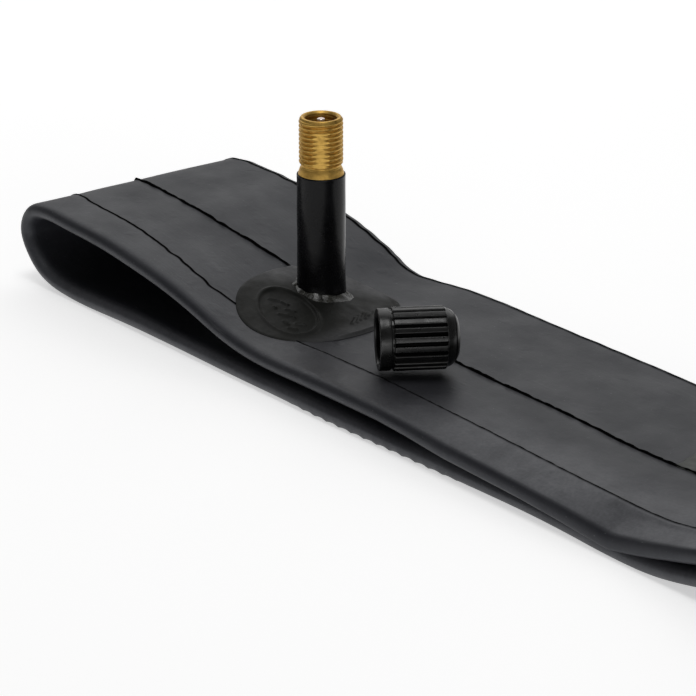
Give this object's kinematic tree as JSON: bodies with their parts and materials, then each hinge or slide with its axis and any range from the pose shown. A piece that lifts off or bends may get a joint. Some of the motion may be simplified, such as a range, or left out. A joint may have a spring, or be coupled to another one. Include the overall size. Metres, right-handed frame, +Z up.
{
  "type": "bicycle inner tube",
  "caption": "Deflated butyl inner tube laid flat and double, its rubber-covered car-type valve standing up, with a sprung core and a loose ribbed dust cap.",
  "frame": {"origin": "on the surface the tube lies on, under the middle of its bounding box", "axes": "+X along the doubled belt, the valve at negative X; +Y across the belt; +Z up, the way the valve points"},
  "size_m": [0.322, 0.049, 0.0404],
  "materials": {
    "tube_rubber": "satin",
    "splice_rubber": "matte",
    "patch_rubber": "matte",
    "rubber_cement": "gloss",
    "sleeve_rubber": "gloss",
    "stem_brass": "satin",
    "core_brass": "satin",
    "spring_steel": "satin",
    "pin_steel": "satin",
    "seal_rubber": "matte",
    "cap_plastic": "semi-gloss"
  },
  "bodies": {
    "tube": {"tube_wall": "tube_rubber", "splice_patch": "splice_rubber", "valve_patch": "patch_rubber", "cement_bead": "rubber_cement", "stem_sleeve": "sleeve_rubber", "stem_insert": "stem_brass", "core_plug": "core_brass", "core_gasket": "seal_rubber", "core_barrel": "core_brass", "core_spring": "spring_steel"},
    "valve_pin": {"core_pin": "pin_steel", "core_cup": "core_brass", "core_seal": "seal_rubber"},
    "cap": {"valve_cap": "cap_plastic"}
  },
  "joints": [
    {"name": "pin_press", "type": "slide", "parent": "tube", "child": "valve_pin", "axis": [0, 0, -1], "range_m": [0, 0.0012], "stiffness_N_per_m": 1000, "springref_m": -0.002, "deforming": ["core_spring"]},
    {"name": "cap_lift", "type": "slide", "parent": "tube", "child": "cap", "axis": [0, 0, 1], "range_m": [0, 0.06]}
  ]
}
